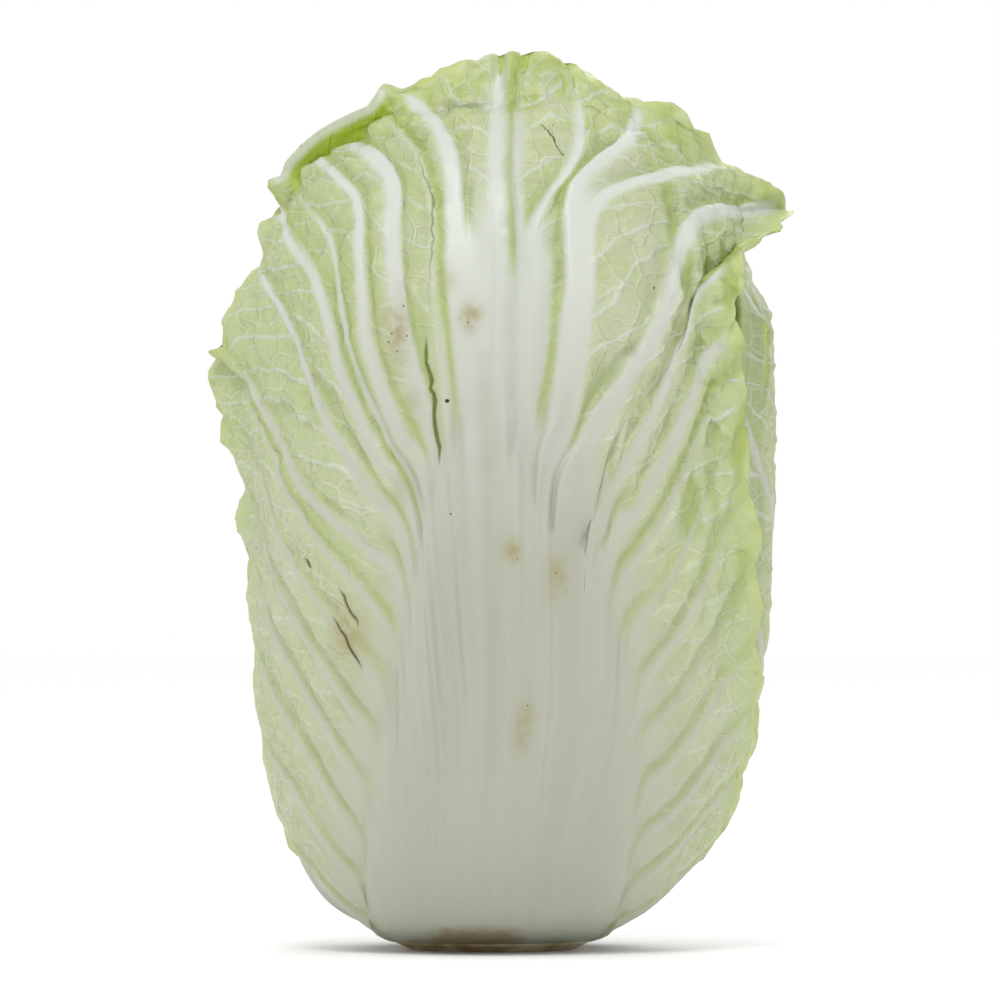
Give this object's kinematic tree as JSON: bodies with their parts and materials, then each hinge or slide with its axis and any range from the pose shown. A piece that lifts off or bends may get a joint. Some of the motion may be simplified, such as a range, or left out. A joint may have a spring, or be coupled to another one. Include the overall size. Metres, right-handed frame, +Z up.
{
  "type": "napa cabbage",
  "caption": "Head of napa cabbage with long overlapping leaves, broad white petioles, branching ribs and waved green margins, standing on its cut stem.",
  "frame": {"origin": "centre of the stem's cut face, on the surface that the head stands on", "axes": "+Z up along the head, -Y towards the side where the front leaf's midrib runs, +X to the right seen from there"},
  "size_m": [0.1876, 0.1726, 0.2893],
  "materials": {
    "cut_stem": "cut plant tissue, browned and dull",
    "outer_leaf": "waxy leaf, white petiole and ribs, pale green blade",
    "inner_leaf": "waxy leaf, pale yellow green"
  },
  "bodies": {
    "root": {"stem_butt": "cut_stem", "leaf_1_front": "outer_leaf", "leaf_2_back": "outer_leaf", "leaf_3_left": "outer_leaf", "leaf_4_right": "outer_leaf", "leaf_5_inner": "inner_leaf", "heart": "inner_leaf"}
  },
  "joints": []
}
